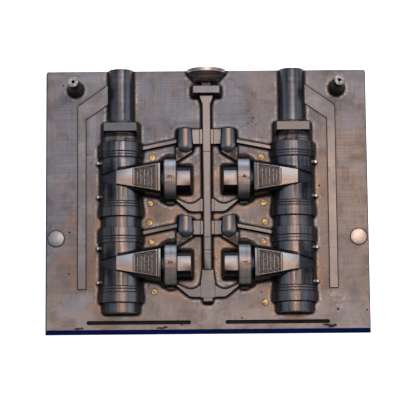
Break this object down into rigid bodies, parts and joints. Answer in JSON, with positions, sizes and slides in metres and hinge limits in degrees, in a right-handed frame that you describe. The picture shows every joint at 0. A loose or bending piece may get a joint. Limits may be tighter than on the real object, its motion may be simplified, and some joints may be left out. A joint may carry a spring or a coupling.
{
  "type": "sand casting pattern plate",
  "caption": "Vertical-parting pattern plate: half-round manifold patterns, core prints and a central running system on a ribbed plate with guide pins.",
  "frame": {"origin": "centre of the plate's back face", "axes": "+X across the plate to the right, +Y up the plate to the pouring basin, +Z out of the moulding face"},
  "size_m": [0.663, 0.543, 0.13],
  "materials": {
    "plate_iron": "milled face, dark blue painted edges and back",
    "vent_strip": "brushed",
    "pattern_steel": "turned and darkened by use",
    "gating_steel": "milled, darkened by use",
    "brass": "satin",
    "pin_steel": "blackened, ground tip",
    "pad_steel": "ground",
    "fastener_steel": "blackened"
  },
  "bodies": {
    "root": {"base_plate": "plate_iron", "body_patterns": "pattern_steel", "bottom_core_prints": "pattern_steel", "branch_core_prints": "pattern_steel", "feeders": "gating_steel", "gas_vent_strips": "vent_strip", "guide_pins": "pin_steel", "keyed_core_prints": "pattern_steel", "middle_core_prints": "pattern_steel", "pouring_basin": "gating_steel", "rest_pads": "pad_steel", "runner_joint_piece": "gating_steel", "runner_lower": "gating_steel", "runner_spacer": "gating_steel", "runner_tail": "gating_steel", "runner_upper": "gating_steel", "side_gates": "gating_steel", "sprue": "gating_steel", "top_core_prints": "pattern_steel"}
  },
  "joints": []
}
